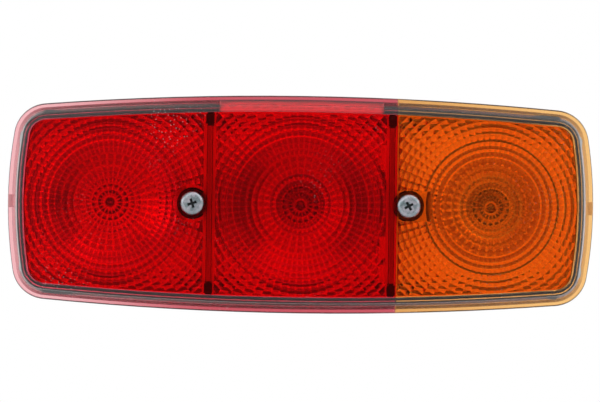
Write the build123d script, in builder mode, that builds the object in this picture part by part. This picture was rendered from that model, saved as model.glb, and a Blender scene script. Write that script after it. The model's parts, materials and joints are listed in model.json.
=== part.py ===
from build123d import *
from math import ceil, hypot, sqrt
import os

# Tail light cluster: a red tail and stop lens welded to an amber indicator lens, held by two screws on a
# black base that carries three bulbs. Millimetres. Seen from the front, +X is to the right and +Z is up.
# The lens looks along -Y, and y = 0 is the mounting face of the base. Names that end in _level, _foot or
# _front are positions measured forwards from that face.

# Outline of the lens, seen from the front
lens_length = 234.0
lens_height = 87.0
long_side_bow = 5.3
end_bow = 4.3
corner_radius = 13.6

# Depths of the three layers
base_depth = 30.0
seal_thickness = 2.0
lens_depth = 32.0

# Lens moulding
lens_wall = 2.5
lens_front_wall = 3.0
lens_lip_width = 1.6
lens_lip_height = 3.0
lens_lean = 2.6
lens_edge_radius = 2.6

# Chambers and the partitions between them: rooms are measured from an outer chamber's axis
end_chamber_room = 41.3
partition_room = 39.3
divider_wall = 1.6
divider_gap = 0.4
divider_drop = 4.0
partition_rib_wall = 1.2
partition_rib_depth = 12.0
partition_end_room = 12.5
end_block_depth = 16.0
end_block_gap = 0.8
weld_gap = 1.2

# Locating tabs on the stop side of the second partition: middle height and length of each
tab_wall = 2.2
tab_spans = ((19.2, 9.6), (-16.6, 8.4), (-27.0, 6.8))

# Optics on the inner face of the lens
optic_margin = 0.4
optic_recess = 0.2
optic_ring_pitch = 5.0
optic_ring_depth = 0.7
optic_centre_radius = 2.5
optic_boss_margin = 1.8
indicator_plain_width = 13.0
indicator_plain_height = 12.0

# Lens screws, their pillars and inserts
screw_room = 32.55
screw_radius = 2.4
screw_length = 42.0
screw_head_radius = 4.75
screw_head_height = 3.2
screw_head_round = 1.6
screw_hole_gap = 0.4
recess_width = 1.4
recess_depth = 1.8
recess_length = 5.6
pillar_radius = 5.8
pillar_level = 34.0
spotface_depth = 1.0
spotface_gap = 0.8
insert_radius = 3.4
insert_length = 10.0
insert_gap = 0.1
pilot_margin = 2.0

# Base moulding
flange_inset = 2.0
flange_thickness = 3.0
tray_inset = 6.0
tray_lean = 1.0
tray_wall = 2.5
floor_thickness = 2.5
back_recess = 1.5
back_rib_wall = 1.4
back_rib_offset = 17.0
end_lug_height = 5.2
end_lug_reach = 1.7

# Lens seal
seal_inset = 2.2
seal_width = 4.0

# Reflectors: the indicator's dish is smaller than the room it has
reflector_inset = 6.5
reflector_wall = 1.2
reflector_gap = 0.5
dish_gap = 0.8
indicator_dish_step = 5.0
dish_hole_radius = 11.0
dish_depth = 13.0
dish_bulge = 2.6

# Bulb caps, sockets and contacts
cap_radius = 7.5
cap_wall = 0.5
cap_length = 16.5
cap_level = 9.0
pin_radius = 1.0
pin_reach = 1.1
pin_offset = 6.7
insulator_length = 2.5
contact_radius = 2.2
contact_reach = 2.2
contact_root = 1.0
contact_chamfer = 0.8
socket_gap = 0.25
socket_wall = 0.5
socket_length = 15.0
socket_flange_radius = 12.2
socket_flange_wall = 0.8
slot_gap = 0.15
hook_length = 2.4
pad_radius = 12.6
pad_bore_gap = 0.4
pad_height = 3.0

# Bulb glass: ball radius and overall reach in front of the cap
tail_ball_radius = 9.3
tail_glass_reach = 18.5
signal_ball_radius = 12.6
signal_glass_reach = 30.5
glass_wall = 0.8
glass_neck_gap = 0.1
glass_root = 8.0
stem_length = 3.0
lead_radius = 0.4
lead_spread = 2.6
filament_radius = 0.6
filament_below_tip = 9.5

# Feed strips, earth strip and rivets
strip_width = 5.0
strip_thickness = 0.6
strip_gap = 0.5
feed_row = 20.0
feed_blade_pitch = 13.0
leaf_root = 8.0
leaf_knee = 3.0
leaf_tip = 2.5
blade_width = 6.3
blade_thickness = 0.8
blade_height = 9.0
earth_width = 3.4
earth_overhang = 6.0
earth_blade_room = 14.8
rivet_offset = 10.4
rivet_radius = 1.2
rivet_head_radius = 1.8
rivet_head_height = 0.8
rivet_root = 2.5

# Mounting studs and cable grommet
stud_room = 19.7
stud_radius = 3.0
stud_neck_radius = 3.6
stud_reach = 20.0
stud_chamfer = 0.6
stud_head_radius = 4.9
stud_head_height = 3.0
stud_head_level = 3.5
stud_boss_radius = 7.2
stud_boss_level = 9.0
grommet_bore = 3.6
grommet_neck_radius = 6.0
grommet_flange_radius = 8.2
grommet_back_flange = 1.4
grommet_front_flange = 2.0
grommet_gap = 0.4

# Derived positions
corner_x = lens_length / 2 - end_bow
corner_z = lens_height / 2 - long_side_bow
long_side_radius = (corner_x**2 + long_side_bow**2) / (2 * long_side_bow)
end_radius = (corner_z**2 + end_bow**2) / (2 * end_bow)
chamber_pitch = lens_length / 2 - end_chamber_room
partition_offset = chamber_pitch - partition_room
partition_rib_length = lens_height - 2 * partition_end_room
floor_level = back_recess + floor_thickness
lens_foot = base_depth + seal_thickness
lens_front = lens_foot + lens_depth
optic_level = lens_front - lens_front_wall
cavity_inset = lens_lip_width + lens_wall
cavity_front_inset = cavity_inset + lens_lean
divider_front = optic_level - divider_drop
rib_offset = divider_wall / 2 + divider_gap + partition_rib_wall / 2
partition_half = rib_offset + partition_rib_wall / 2
weld_offset = partition_offset + divider_wall / 2 + weld_gap
screw_offset = chamber_pitch - screw_room
stud_offset = chamber_pitch - stud_room
earth_blade_offset = partition_offset - earth_blade_room
tray_floor_half = lens_height / 2 - tray_inset - tray_lean - tray_wall
grommet_height = (pad_radius + tray_floor_half) / 2
pad_level = floor_level + pad_height
flange_top = pad_level + socket_flange_wall
socket_bore = cap_radius + socket_gap
socket_radius = socket_bore + socket_wall
contact_level = cap_level - contact_reach
screw_seat = lens_front - spotface_depth
insert_level = pillar_level - insert_length
chamber_centres = {"tail": -chamber_pitch, "stop": 0.0, "indicator": chamber_pitch}
divider_half = divider_wall / 2
chamber_spans = {
    "tail": (-lens_length / 2, -partition_offset - divider_half - divider_gap),
    "stop": (-partition_offset + divider_half + divider_gap, partition_offset - divider_half - divider_gap),
    "indicator": (partition_offset + divider_half + divider_gap, lens_length / 2),
}
field_half_width = max(partition_room, partition_offset, end_chamber_room) - partition_half
field_half_height = lens_height / 2 - cavity_front_inset - optic_margin
optic_reach = hypot(field_half_width, field_half_height)
optic_ring_count = ceil((optic_reach - optic_centre_radius) / optic_ring_pitch)
dish_border = tray_inset + tray_wall + reflector_wall + dish_gap
long_side_drop = long_side_radius - sqrt(long_side_radius**2 - chamber_pitch**2)
tail_dish_radius = min(end_chamber_room, lens_height / 2 - long_side_drop) - dish_border
stop_room = partition_offset - divider_half - divider_gap - reflector_wall - dish_gap
dish_radii = {
    "tail": tail_dish_radius,
    "stop": min(stop_room, lens_height / 2 - dish_border),
    "indicator": tail_dish_radius - indicator_dish_step,
}


def facing(level):
    """Sketch plane parallel to the mounting face, level millimetres in front of it."""
    return Plane.XZ.offset(level)


def chamber_axis(centre):
    """Axis through the middle of a chamber, square to the mounting face."""
    return Axis((centre, 0, 0), (0, 1, 0))


def inset_outline(inset):
    """The lamp outline moved inwards all round: four bowed sides cut from large discs, with round corners."""
    with BuildSketch(mode=Mode.PRIVATE) as drawn:
        with Locations((0, lens_height / 2 - long_side_radius)):
            Circle(long_side_radius - inset)
        with Locations((0, long_side_radius - lens_height / 2)):
            Circle(long_side_radius - inset, mode=Mode.INTERSECT)
        with Locations((end_radius - lens_length / 2, 0)):
            Circle(end_radius - inset, mode=Mode.INTERSECT)
        with Locations(Location((lens_length / 2 - end_radius, 0, 0), (0, 0, 180))):
            Circle(end_radius - inset, mode=Mode.INTERSECT)
        fillet(drawn.vertices(), corner_radius - inset)
    return drawn.sketch


def outline_between(inset, left, right):
    """The stretch of the inset outline between two upright lines."""
    with BuildSketch(mode=Mode.PRIVATE) as drawn:
        add(inset_outline(inset))
        with Locations(((left + right) / 2, 0)):
            Rectangle(right - left, lens_height, mode=Mode.INTERSECT)
    return drawn.sketch


# Lens blank: lip, leaning walls, rounded front edge and hollow, before it is parted at the weld
with BuildPart() as lens_blank:
    with BuildSketch(facing(lens_foot)):
        add(inset_outline(0))
    extrude(amount=lens_lip_height)
    with BuildSketch(facing(lens_foot + lens_lip_height)):
        add(inset_outline(lens_lip_width))
    with BuildSketch(facing(lens_front)):
        add(inset_outline(lens_lip_width + lens_lean))
    loft(ruled=True)
    fillet(lens_blank.edges().group_by(Axis.Y)[0], lens_edge_radius)
    with BuildSketch(facing(lens_foot)):
        add(inset_outline(cavity_inset))
    with BuildSketch(facing(optic_level)):
        add(inset_outline(cavity_front_inset))
    loft(ruled=True, mode=Mode.SUBTRACT)


def optic_field(chamber):
    """Outline of the prismatic field on the inner face of one chamber's lens."""
    left, right = {
        "tail": (-lens_length / 2, -partition_offset - partition_half),
        "stop": (-partition_offset + partition_half, partition_offset - partition_half),
        "indicator": (partition_offset + partition_half, lens_length / 2),
    }[chamber]
    with BuildSketch(mode=Mode.PRIVATE) as drawn:
        add(outline_between(cavity_front_inset + optic_margin, left, right))
        if chamber == "tail":
            with Locations((-screw_offset, 0)):
                Circle(pillar_radius + optic_boss_margin, mode=Mode.SUBTRACT)
        if chamber == "stop":
            for middle, length in tab_spans:
                with Locations((partition_offset - partition_half - tab_wall / 2, middle)):
                    Rectangle(tab_wall + optic_margin, length + optic_margin, mode=Mode.SUBTRACT)
        if chamber == "indicator":
            with Locations((left + indicator_plain_width / 2, 0)):
                Rectangle(indicator_plain_width, indicator_plain_height, mode=Mode.SUBTRACT)
    return drawn.sketch


def optic_cutter(chamber):
    """Shallow recess with saw-tooth rings round the chamber axis, to be cut into the lens's inner face."""
    centre = chamber_centres[chamber]
    recess_front = optic_level + optic_recess
    with BuildPart() as rings:
        with BuildSketch(Plane.XY):
            for ring in range(optic_ring_count):
                inner = centre + optic_centre_radius + ring * optic_ring_pitch
                with BuildLine():
                    Polyline(
                        (inner, -optic_level),
                        (inner, -recess_front - optic_ring_depth),
                        (inner + optic_ring_pitch, -recess_front),
                        (inner + optic_ring_pitch, -optic_level),
                        close=True,
                    )
                make_face()
        revolve(axis=chamber_axis(centre))
        with BuildSketch(facing(optic_level)):
            add(optic_field(chamber))
        extrude(amount=optic_recess + optic_ring_depth, mode=Mode.INTERSECT)
    return rings.part


tail_optic = optic_cutter("tail")
stop_optic = optic_cutter("stop")
indicator_optic = optic_cutter("indicator")

# Red lens: tail and stop chambers, ribs astride both dividers, tabs, screw pillar
with BuildPart() as lens_red:
    add(lens_blank.part)
    split(bisect_by=Plane.YZ.offset(weld_offset), keep=Keep.BOTTOM)
    with BuildSketch(facing(optic_level - partition_rib_depth)):
        with Locations(
            (-partition_offset - rib_offset, 0),
            (-partition_offset + rib_offset, 0),
            (partition_offset - rib_offset, 0),
        ):
            Rectangle(partition_rib_wall, partition_rib_length)
        for middle, length in tab_spans:
            with Locations((partition_offset - partition_half - tab_wall / 2, middle)):
                Rectangle(tab_wall, length)
    extrude(amount=partition_rib_depth)
    with BuildSketch(facing(pillar_level)):
        with Locations((-screw_offset, 0)):
            Circle(pillar_radius)
    extrude(amount=optic_level - pillar_level)
    add(tail_optic, mode=Mode.SUBTRACT)
    add(stop_optic, mode=Mode.SUBTRACT)
    with Locations(facing(lens_front).location * Location((-screw_offset, 0, 0))):
        CounterBoreHole(
            radius=screw_radius + screw_hole_gap,
            counter_bore_radius=screw_head_radius + spotface_gap,
            counter_bore_depth=spotface_depth,
            depth=lens_front - pillar_level,
        )
lens_red.part.label = "lens_red"

# Amber lens: indicator chamber, rib beside the weld, screw pillar
with BuildPart() as lens_amber:
    add(lens_blank.part)
    split(bisect_by=Plane.YZ.offset(weld_offset), keep=Keep.TOP)
    with BuildSketch(facing(optic_level - partition_rib_depth)):
        with Locations((weld_offset + partition_rib_wall / 2, 0)):
            Rectangle(partition_rib_wall, partition_rib_length)
    extrude(amount=partition_rib_depth)
    with BuildSketch(facing(pillar_level)):
        with Locations((screw_offset, 0)):
            Circle(pillar_radius)
    extrude(amount=optic_level - pillar_level)
    split(bisect_by=Plane.YZ.offset(weld_offset), keep=Keep.TOP)
    add(indicator_optic, mode=Mode.SUBTRACT)
    with Locations(facing(lens_front).location * Location((screw_offset, 0, 0))):
        CounterBoreHole(
            radius=screw_radius + screw_hole_gap,
            counter_bore_radius=screw_head_radius + spotface_gap,
            counter_bore_depth=spotface_depth,
            depth=lens_front - pillar_level,
        )
lens_amber.part.label = "lens_amber"

# Lens seal: one flat ring between base flange and lens foot
with BuildPart() as lens_seal:
    with BuildSketch(facing(base_depth)):
        add(inset_outline(seal_inset))
        add(inset_outline(seal_inset + seal_width), mode=Mode.SUBTRACT)
    extrude(amount=seal_thickness)
lens_seal.part.label = "lens_seal"

# Mounting studs: threaded shanks whose hexagon heads and thicker necks are moulded into the base
with BuildPart() as mounting_studs:
    with BuildSketch(facing(stud_head_level)):
        with Locations((-stud_offset, 0), (stud_offset, 0)):
            RegularPolygon(stud_head_radius, 6)
    extrude(amount=stud_head_height)
    with BuildSketch(facing(-stud_reach)):
        with Locations((-stud_offset, 0), (stud_offset, 0)):
            Circle(stud_radius)
    extrude(amount=stud_reach)
    with BuildSketch(facing(0)):
        with Locations((-stud_offset, 0), (stud_offset, 0)):
            Circle(stud_neck_radius)
    extrude(amount=stud_head_level)
    chamfer(mounting_studs.edges().group_by(Axis.Y)[-1], stud_chamfer)
mounting_studs.part.label = "mounting_studs"

# Screw inserts: knurled brass bushes in the tops of the base pillars, drawn plain
with BuildPart() as screw_inserts:
    with BuildSketch(facing(insert_level)):
        with Locations((-screw_offset, 0), (screw_offset, 0)):
            Circle(insert_radius)
            Circle(screw_radius + insert_gap, mode=Mode.SUBTRACT)
    extrude(amount=insert_length)
screw_inserts.part.label = "screw_inserts"

# Base: leaning tray with an outward flange, pillars, pads, stud bosses and light-tight dividers
socket_places = [(centre, 0) for centre in chamber_centres.values()]
pillar_places = [(-screw_offset, 0), (screw_offset, 0)]
stud_places = [(-stud_offset, 0), (stud_offset, 0)]
divider_places = [-partition_offset, partition_offset]
with BuildPart() as base_housing:
    with BuildSketch(facing(0)):
        add(inset_outline(tray_inset + tray_lean))
    with BuildSketch(facing(base_depth)):
        add(inset_outline(tray_inset))
    loft(ruled=True)
    with BuildSketch(facing(base_depth - flange_thickness)):
        add(inset_outline(flange_inset))
        with Locations((-lens_length / 2 + flange_inset, 0), (lens_length / 2 - flange_inset, 0)):
            Rectangle(2 * end_lug_reach, end_lug_height)
    extrude(amount=flange_thickness)
    with BuildSketch(facing(floor_level)):
        add(inset_outline(tray_inset + tray_lean + tray_wall))
    with BuildSketch(facing(base_depth)):
        add(inset_outline(tray_inset + tray_wall))
    loft(ruled=True, mode=Mode.SUBTRACT)
    # Hollow back with a raised rim, ribs, stud bosses and grommet boss left standing
    with BuildSketch(facing(0)):
        add(inset_outline(tray_inset + tray_lean + tray_wall))
        with Locations((0, -back_rib_offset), (0, back_rib_offset)):
            Rectangle(lens_length, back_rib_wall, mode=Mode.SUBTRACT)
        with Locations(*[(x, 0) for x in divider_places]):
            Rectangle(back_rib_wall, lens_height, mode=Mode.SUBTRACT)
        with Locations(*stud_places):
            Circle(stud_boss_radius, mode=Mode.SUBTRACT)
        with Locations((0, grommet_height)):
            Circle(grommet_flange_radius + grommet_gap)
    extrude(amount=back_recess, mode=Mode.SUBTRACT)
    # Stud bosses, screw pillars and socket pads on the floor
    with BuildSketch(facing(back_recess)):
        with Locations(*stud_places):
            Circle(stud_boss_radius)
    extrude(amount=stud_boss_level - back_recess)
    with BuildSketch(facing(back_recess)):
        with Locations(*pillar_places):
            Circle(pillar_radius)
    extrude(amount=pillar_level - back_recess)
    with BuildSketch(facing(floor_level)):
        with Locations(*socket_places):
            Circle(pad_radius)
            Circle(socket_radius + pad_bore_gap, mode=Mode.SUBTRACT)
            with Locations((0, -pad_radius / 2)):
                Rectangle(strip_width + 2 * strip_gap, pad_radius, mode=Mode.SUBTRACT)
    extrude(amount=pad_height)
    # Dividers: full height in the tray, then between the lens ribs up to just under the optics
    with BuildSketch(facing(floor_level)):
        for x in divider_places:
            add(outline_between(tray_inset + tray_wall, x - divider_half, x + divider_half))
    extrude(amount=base_depth - floor_level)
    with BuildSketch(facing(base_depth)):
        for x in divider_places:
            add(outline_between(cavity_front_inset + divider_gap, x - divider_half, x + divider_half))
    extrude(amount=divider_front - base_depth)
    # Thick end blocks that close each divider beside the lens walls
    with BuildSketch(facing(divider_front - end_block_depth)):
        for x in divider_places:
            block_half = weld_gap + divider_half - divider_gap
            add(outline_between(cavity_front_inset + divider_gap, x - block_half, x + block_half))
        Rectangle(lens_length, partition_rib_length + 2 * end_block_gap, mode=Mode.SUBTRACT)
    extrude(amount=end_block_depth)
    # Openings: earth strip and feed strips through the dividers, grommet, studs, inserts and pilot holes
    with BuildSketch(facing(flange_top - strip_gap)):
        with Locations(*[(x, rivet_offset) for x in divider_places]):
            Rectangle(2 * divider_wall, earth_width + 2 * strip_gap)
    extrude(amount=blade_thickness + 2 * strip_gap, mode=Mode.SUBTRACT)
    with BuildSketch(facing(floor_level)):
        with Locations(*[(x, -feed_row) for x in divider_places]):
            Rectangle(2 * divider_wall, strip_width + 2 * strip_gap)
    extrude(amount=strip_thickness + strip_gap, mode=Mode.SUBTRACT)
    with BuildSketch(facing(back_recess)):
        with Locations((0, grommet_height)):
            Circle(grommet_neck_radius)
    extrude(amount=floor_thickness, mode=Mode.SUBTRACT)
    with BuildSketch(facing(insert_level)):
        with Locations(*pillar_places):
            Circle(insert_radius)
    extrude(amount=insert_length, mode=Mode.SUBTRACT)
    with BuildSketch(facing(screw_seat - screw_length - pilot_margin)):
        with Locations(*pillar_places):
            Circle(screw_radius + insert_gap)
    extrude(amount=insert_level + screw_length + pilot_margin - screw_seat, mode=Mode.SUBTRACT)
    with BuildSketch(facing(pad_level - rivet_root)):
        with Locations(*socket_places):
            with PolarLocations(rivet_offset, 3, start_angle=90):
                Circle(rivet_radius)
    extrude(amount=rivet_root, mode=Mode.SUBTRACT)
    add(mounting_studs.part, mode=Mode.SUBTRACT)
base_housing.part.label = "base_housing"

# Lens screws: round-edged pan heads with a cross recess and plain shanks
with BuildPart() as lens_screws:
    with BuildSketch(facing(screw_seat)):
        with Locations(*pillar_places):
            Circle(screw_head_radius)
    extrude(amount=screw_head_height)
    fillet(lens_screws.edges().group_by(Axis.Y)[0], screw_head_round)
    with BuildSketch(facing(screw_seat + screw_head_height - recess_depth)):
        with Locations(*pillar_places):
            Rectangle(recess_length, recess_width)
            Rectangle(recess_width, recess_length)
    extrude(amount=recess_depth, mode=Mode.SUBTRACT)
    with BuildSketch(facing(screw_seat - screw_length)):
        with Locations(*pillar_places):
            Circle(screw_radius)
    extrude(amount=screw_length)
lens_screws.part.label = "lens_screws"

# Cable grommet: a grooved rubber bush in the floor
with BuildPart() as cable_grommet:
    with BuildSketch(facing(back_recess - grommet_back_flange)):
        with Locations((0, grommet_height)):
            Circle(grommet_flange_radius)
    extrude(amount=grommet_back_flange)
    with BuildSketch(facing(back_recess)):
        with Locations((0, grommet_height)):
            Circle(grommet_neck_radius)
    extrude(amount=floor_thickness)
    with BuildSketch(facing(floor_level)):
        with Locations((0, grommet_height)):
            Circle(grommet_flange_radius)
    extrude(amount=grommet_front_flange)
    with BuildSketch(facing(back_recess - grommet_back_flange)):
        with Locations((0, grommet_height)):
            Circle(grommet_bore)
    extrude(amount=grommet_back_flange + floor_thickness + grommet_front_flange, mode=Mode.SUBTRACT)
cable_grommet.part.label = "cable_grommet"

# Earth strip: one bar across the three socket flanges, with a blade terminal
with BuildPart() as earth_strip:
    with BuildSketch(facing(flange_top)):
        with Locations((0, rivet_offset)):
            Rectangle(2 * (chamber_pitch + earth_overhang), earth_width)
        with Locations(*[(centre, rivet_offset) for centre in chamber_centres.values()]):
            Circle(rivet_radius, mode=Mode.SUBTRACT)
    extrude(amount=blade_thickness)
    with BuildSketch(facing(flange_top)):
        with Locations((earth_blade_offset, rivet_offset)):
            Rectangle(blade_width, blade_thickness)
    extrude(amount=blade_height)
earth_strip.part.label = "earth_strip"

# Socket rivets: three for each socket, the upper one through the earth strip as well
with BuildPart() as socket_rivets:
    with BuildSketch(facing(pad_level - rivet_root)):
        with Locations(*socket_places):
            with PolarLocations(rivet_offset, 3, start_angle=90):
                Circle(rivet_radius)
    extrude(amount=rivet_root + socket_flange_wall)
    with BuildSketch(facing(flange_top)):
        with Locations(*socket_places):
            with PolarLocations(rivet_offset, 2, start_angle=210, angular_range=120, endpoint=True):
                Circle(rivet_head_radius)
    extrude(amount=rivet_head_height)
    upper_rivets = [(centre, rivet_offset) for centre in chamber_centres.values()]
    with BuildSketch(facing(flange_top)):
        with Locations(*upper_rivets):
            Circle(rivet_radius)
    extrude(amount=blade_thickness)
    with BuildSketch(facing(flange_top + blade_thickness)):
        with Locations(*upper_rivets):
            Circle(rivet_head_radius)
    extrude(amount=rivet_head_height)
socket_rivets.part.label = "socket_rivets"


def make_reflector(chamber):
    """Metallised dish on a flat rim that lies on the base flange, notched for the screw pillar."""
    centre = chamber_centres[chamber]
    left, right = chamber_spans[chamber]
    radius = dish_radii[chamber]
    rim_front = base_depth + reflector_wall
    bottom = rim_front - dish_depth
    middle = (radius + dish_hole_radius) / 2
    with BuildPart() as reflector:
        with BuildSketch(facing(base_depth)):
            add(outline_between(reflector_inset, left, right))
            with Locations((centre, 0)):
                Circle(radius, mode=Mode.SUBTRACT)
        extrude(amount=reflector_wall)
        with BuildSketch(Plane.XY):
            with BuildLine():
                ThreePointArc(
                    (centre + dish_hole_radius, -bottom),
                    (centre + middle, dish_bulge - (bottom + rim_front) / 2),
                    (centre + radius, -rim_front),
                )
                Polyline(
                    (centre + radius, -rim_front),
                    (centre + radius + reflector_wall, -rim_front),
                    (centre + radius + reflector_wall, -base_depth),
                )
                ThreePointArc(
                    (centre + radius + reflector_wall, -base_depth),
                    (centre + middle, dish_bulge + reflector_wall - (bottom + rim_front) / 2),
                    (centre + dish_hole_radius, reflector_wall - bottom),
                )
                Line(
                    (centre + dish_hole_radius, reflector_wall - bottom),
                    (centre + dish_hole_radius, -bottom),
                )
            make_face()
        revolve(axis=chamber_axis(centre))
        if chamber != "stop":
            side = 1 if centre > 0 else -1
            with BuildSketch(facing(bottom - reflector_wall)):
                with Locations((side * screw_offset, 0)):
                    Circle(pillar_radius + reflector_gap)
            extrude(amount=dish_depth + 2 * reflector_wall, mode=Mode.SUBTRACT)
    reflector.part.label = chamber + "_reflector"
    return reflector.part


def make_bulb_glass(chamber, ball_radius, glass_reach):
    """Blown glass: a ball on a necked tube that is cemented into the cap, closed by a pinched stem."""
    centre = chamber_centres[chamber]
    neck_radius = cap_radius - cap_wall - glass_neck_gap
    cap_front = cap_level + cap_length
    root = cap_front - glass_root
    ball_level = cap_front + glass_reach - ball_radius
    outer = (neck_radius, root, ball_radius)
    inner = (neck_radius - glass_wall, root + stem_length, ball_radius - glass_wall)
    with BuildPart() as glass:
        for (tube_radius, start, radius), mode in ((outer, Mode.ADD), (inner, Mode.SUBTRACT)):
            shoulder = ball_level - sqrt(radius**2 - tube_radius**2)
            with BuildSketch(Plane.XY):
                with BuildLine():
                    Polyline(
                        (centre, -start),
                        (centre + tube_radius, -start),
                        (centre + tube_radius, -shoulder),
                    )
                    ThreePointArc(
                        (centre + tube_radius, -shoulder),
                        (centre + radius, -ball_level),
                        (centre, -ball_level - radius),
                    )
                    Line((centre, -ball_level - radius), (centre, -start))
                make_face()
            revolve(axis=chamber_axis(centre), mode=mode)
    glass.part.label = chamber + "_bulb_glass"
    return glass.part


def make_bulb_filament(chamber, glass_reach):
    """Coiled filament drawn as a rod across two lead wires that stand on the glass stem."""
    centre = chamber_centres[chamber]
    cap_front = cap_level + cap_length
    stem_front = cap_front - glass_root + stem_length
    coil_level = cap_front + glass_reach - filament_below_tip
    with BuildPart() as filament:
        with BuildSketch(facing(stem_front)):
            with Locations((centre - lead_spread, 0), (centre + lead_spread, 0)):
                Circle(lead_radius)
        extrude(amount=coil_level - stem_front)
        with BuildSketch(Plane.YZ.offset(centre - lead_spread - lead_radius)):
            with Locations((-coil_level, 0)):
                Circle(filament_radius)
        extrude(amount=2 * (lead_spread + lead_radius))
    filament.part.label = chamber + "_bulb_filament"
    return filament.part


def make_bulb_cap(chamber):
    """Drawn brass bayonet cap with its two locating pins."""
    centre = chamber_centres[chamber]
    with BuildPart() as cap:
        with BuildSketch(facing(cap_level)):
            with Locations((centre, 0)):
                Circle(cap_radius)
        extrude(amount=cap_length)
        with BuildSketch(Plane.YZ.offset(centre - cap_radius - pin_reach)):
            with Locations((-cap_level - pin_offset, 0)):
                Circle(pin_radius)
        extrude(amount=2 * (cap_radius + pin_reach))
        with BuildSketch(facing(cap_level)):
            with Locations((centre, 0)):
                Circle(cap_radius - cap_wall)
        extrude(amount=cap_length, mode=Mode.SUBTRACT)
    cap.part.label = chamber + "_bulb_cap"
    return cap.part


def make_bulb_insulator(chamber):
    """Disc of black glass that closes the cap round its contact."""
    with BuildPart() as insulator:
        with BuildSketch(facing(cap_level)):
            with Locations((chamber_centres[chamber], 0)):
                Circle(cap_radius - cap_wall)
                Circle(contact_radius, mode=Mode.SUBTRACT)
        extrude(amount=insulator_length)
    insulator.part.label = chamber + "_bulb_insulator"
    return insulator.part


def make_bulb_contact(chamber):
    """Solder contact under the cap."""
    with BuildPart() as contact:
        with BuildSketch(facing(contact_level)):
            with Locations((chamber_centres[chamber], 0)):
                Circle(contact_radius)
        extrude(amount=contact_reach + contact_root)
        chamfer(contact.edges().group_by(Axis.Y)[-1], contact_chamfer)
    contact.part.label = chamber + "_bulb_contact"
    return contact.part


def make_socket(chamber):
    """Pressed steel bayonet socket: a flanged tube with two hooked slots for the bulb pins."""
    centre = chamber_centres[chamber]
    slot_radius = pin_radius + slot_gap
    slot_level = cap_level + pin_offset - slot_radius
    with BuildPart() as socket:
        with BuildSketch(facing(pad_level)):
            with Locations((centre, 0)):
                Circle(socket_flange_radius)
                with PolarLocations(rivet_offset, 3, start_angle=90):
                    Circle(rivet_radius, mode=Mode.SUBTRACT)
        extrude(amount=socket_flange_wall)
        with BuildSketch(facing(pad_level)):
            with Locations((centre, 0)):
                Circle(socket_radius)
        extrude(amount=socket_length)
        with BuildSketch(facing(pad_level)):
            with Locations((centre, 0)):
                Circle(socket_bore)
        extrude(amount=socket_length, mode=Mode.SUBTRACT)
        with BuildSketch(facing(slot_level)):
            with Locations((centre, 0)):
                Rectangle(2 * socket_flange_radius, 2 * slot_radius)
        extrude(amount=2 * slot_radius, mode=Mode.SUBTRACT)
        hook_middle = hook_length / 2
        with BuildSketch(facing(slot_level)):
            with Locations((centre - socket_radius, hook_middle), (centre + socket_radius, -hook_middle)):
                Rectangle(socket_radius, hook_length + 2 * slot_radius)
        extrude(amount=2 * slot_radius, mode=Mode.SUBTRACT)
        with BuildSketch(facing(slot_level)):
            with Locations((centre - socket_radius, hook_length), (centre + socket_radius, -hook_length)):
                Rectangle(socket_radius, 2 * slot_radius)
        extrude(amount=pad_level + socket_length - slot_level, mode=Mode.SUBTRACT)
    socket.part.label = chamber + "_socket"
    return socket.part


def make_feed_strip(chamber):
    """Brass strip along the floor: a sprung leaf under the bulb contact, a run, and a blade terminal."""
    centre = chamber_centres[chamber]
    blade_x = {"tail": -feed_blade_pitch, "stop": 0.0, "indicator": feed_blade_pitch}[chamber]
    strip_top = floor_level + strip_thickness
    row_edge = -feed_row - strip_width / 2
    with BuildPart() as strip:
        with BuildSketch(Plane.YZ.offset(centre - strip_width / 2)):
            with BuildLine():
                Polyline(
                    (-floor_level, row_edge),
                    (-floor_level, -leaf_root),
                    (strip_thickness - contact_level, -leaf_knee),
                    (strip_thickness - contact_level, leaf_tip),
                    (-contact_level, leaf_tip),
                    (-contact_level, -leaf_knee),
                    (-strip_top, -leaf_root),
                    (-strip_top, row_edge),
                    close=True,
                )
            make_face()
        extrude(amount=strip_width)
        with BuildSketch(facing(floor_level)):
            run_ends = (centre - strip_width / 2, centre + strip_width / 2)
            run_left = min(run_ends[0], blade_x - blade_width / 2)
            run_right = max(run_ends[1], blade_x + blade_width / 2)
            with Locations(((run_left + run_right) / 2, -feed_row)):
                Rectangle(run_right - run_left, strip_width)
        extrude(amount=strip_thickness)
        with BuildSketch(facing(floor_level)):
            with Locations((blade_x, -feed_row)):
                Rectangle(blade_width, blade_thickness)
        extrude(amount=blade_height)
    strip.part.label = chamber + "_feed_strip"
    return strip.part


os.makedirs("parts", exist_ok=True)
pieces = [
    base_housing.part,
    lens_seal.part,
    lens_red.part,
    lens_amber.part,
    lens_screws.part,
    screw_inserts.part,
    mounting_studs.part,
    cable_grommet.part,
    earth_strip.part,
    socket_rivets.part,
]
for chamber in chamber_centres:
    ball_radius = tail_ball_radius if chamber == "tail" else signal_ball_radius
    glass_reach = tail_glass_reach if chamber == "tail" else signal_glass_reach
    pieces.append(make_reflector(chamber))
    pieces.append(make_bulb_glass(chamber, ball_radius, glass_reach))
    pieces.append(make_bulb_filament(chamber, glass_reach))
    pieces.append(make_bulb_cap(chamber))
    pieces.append(make_bulb_insulator(chamber))
    pieces.append(make_bulb_contact(chamber))
    pieces.append(make_socket(chamber))
    pieces.append(make_feed_strip(chamber))
for piece in pieces:
    export_step(piece, "parts/" + piece.label + ".step")
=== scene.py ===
import json
import math

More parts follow.
